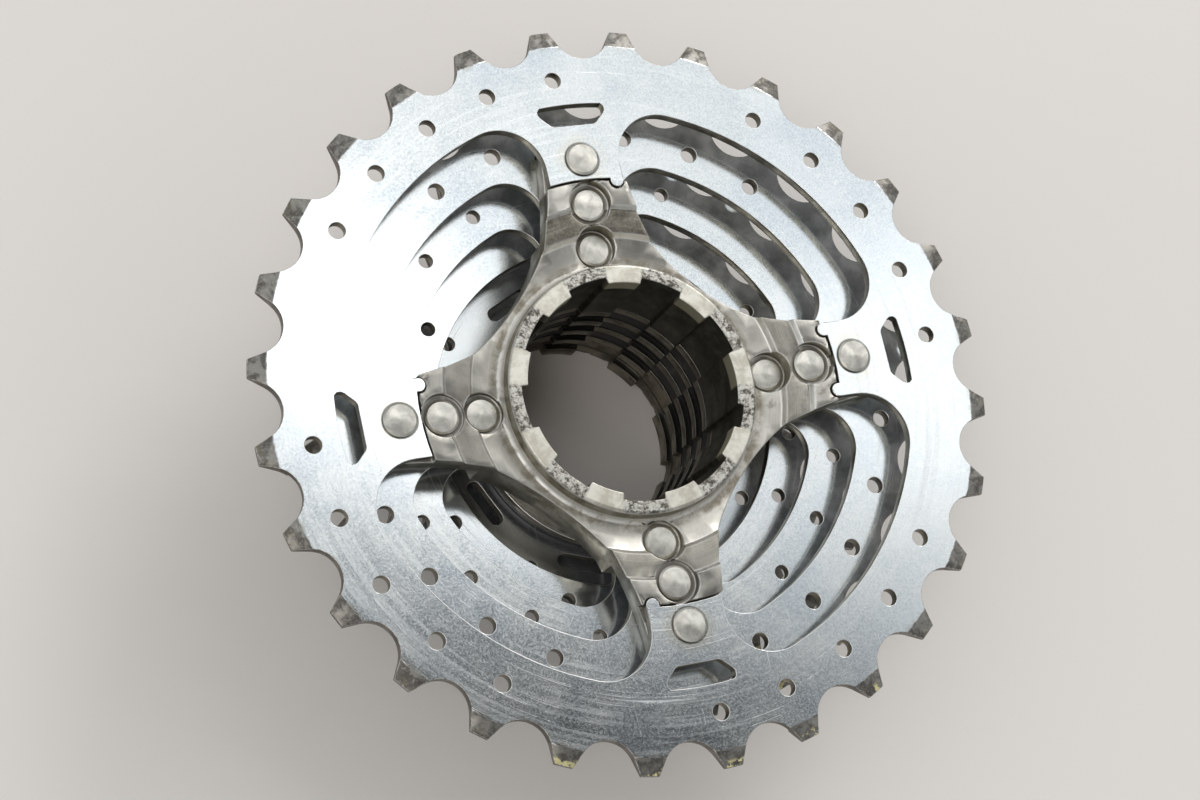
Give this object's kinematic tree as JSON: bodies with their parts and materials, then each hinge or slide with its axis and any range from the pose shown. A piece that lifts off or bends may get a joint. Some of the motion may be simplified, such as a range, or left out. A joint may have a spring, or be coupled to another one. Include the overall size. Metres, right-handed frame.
{
  "type": "bicycle cassette sprocket set",
  "caption": "Bicycle cassette: large sprockets riveted to a four-armed alloy carrier with a splined bore, smaller loose sprockets and spacers stacked below it.",
  "frame": {"origin": "centre of the face it stands on, the outboard face of the smallest sprocket, on the bore's axis", "axes": "+Z along the bore's axis towards the wheel, from the smallest sprocket to the largest; +X along the carrier arm whose tab has an ear at both corners"},
  "size_m": [0.115, 0.115, 0.0373],
  "materials": {
    "forged_alloy": "forged and machined, satin, dirt in the corners",
    "plated_steel": "nickel plated, satin with a blue-grey bloom, fine scratches",
    "worn_steel": "nickel plated, satin, dull from use",
    "rivet_steel": "turned heads with fine rings",
    "spacer_resin": "matte moulded resin"
  },
  "bodies": {
    "loose_sprocket_11": {"sprocket_11": "worn_steel"},
    "loose_sprocket_12": {"sprocket_12": "worn_steel"},
    "loose_spacer_14_12": {"spacer_14_12": "spacer_resin"},
    "loose_sprocket_14": {"sprocket_14": "worn_steel"},
    "loose_spacer_16_14": {"spacer_16_14": "spacer_resin"},
    "loose_sprocket_16": {"sprocket_16": "worn_steel"},
    "loose_spacer_18_16": {"spacer_18_16": "spacer_resin"},
    "loose_sprocket_18": {"sprocket_18": "plated_steel"},
    "riveted_cluster": {"spider_carrier": "forged_alloy", "sprocket_28": "plated_steel", "sprocket_24": "plated_steel", "sprocket_21": "plated_steel", "rivet_outer_1": "rivet_steel", "rivet_outer_2": "rivet_steel", "rivet_outer_3": "rivet_steel", "rivet_outer_4": "rivet_steel", "rivet_middle_1": "rivet_steel", "rivet_middle_2": "rivet_steel", "rivet_middle_3": "rivet_steel", "rivet_middle_4": "rivet_steel", "rivet_inner_1": "rivet_steel", "rivet_inner_2": "rivet_steel", "rivet_inner_3": "rivet_steel", "rivet_inner_4": "rivet_steel"}
  },
  "joints": [
    {"name": "lift_sprocket_12", "type": "slide", "parent": "loose_sprocket_11", "child": "loose_sprocket_12", "axis": [0, 0, 1], "range_m": [0, 0.015]},
    {"name": "lift_spacer_14_12", "type": "slide", "parent": "loose_sprocket_12", "child": "loose_spacer_14_12", "axis": [0, 0, 1], "range_m": [0, 0.015]},
    {"name": "lift_sprocket_14", "type": "slide", "parent": "loose_spacer_14_12", "child": "loose_sprocket_14", "axis": [0, 0, 1], "range_m": [0, 0.015]},
    {"name": "lift_spacer_16_14", "type": "slide", "parent": "loose_sprocket_14", "child": "loose_spacer_16_14", "axis": [0, 0, 1], "range_m": [0, 0.015]},
    {"name": "lift_sprocket_16", "type": "slide", "parent": "loose_spacer_16_14", "child": "loose_sprocket_16", "axis": [0, 0, 1], "range_m": [0, 0.015]},
    {"name": "lift_spacer_18_16", "type": "slide", "parent": "loose_sprocket_16", "child": "loose_spacer_18_16", "axis": [0, 0, 1], "range_m": [0, 0.015]},
    {"name": "lift_sprocket_18", "type": "slide", "parent": "loose_spacer_18_16", "child": "loose_sprocket_18", "axis": [0, 0, 1], "range_m": [0, 0.015]},
    {"name": "lift_riveted_cluster", "type": "slide", "parent": "loose_sprocket_18", "child": "riveted_cluster", "axis": [0, 0, 1], "range_m": [0, 0.03]}
  ]
}
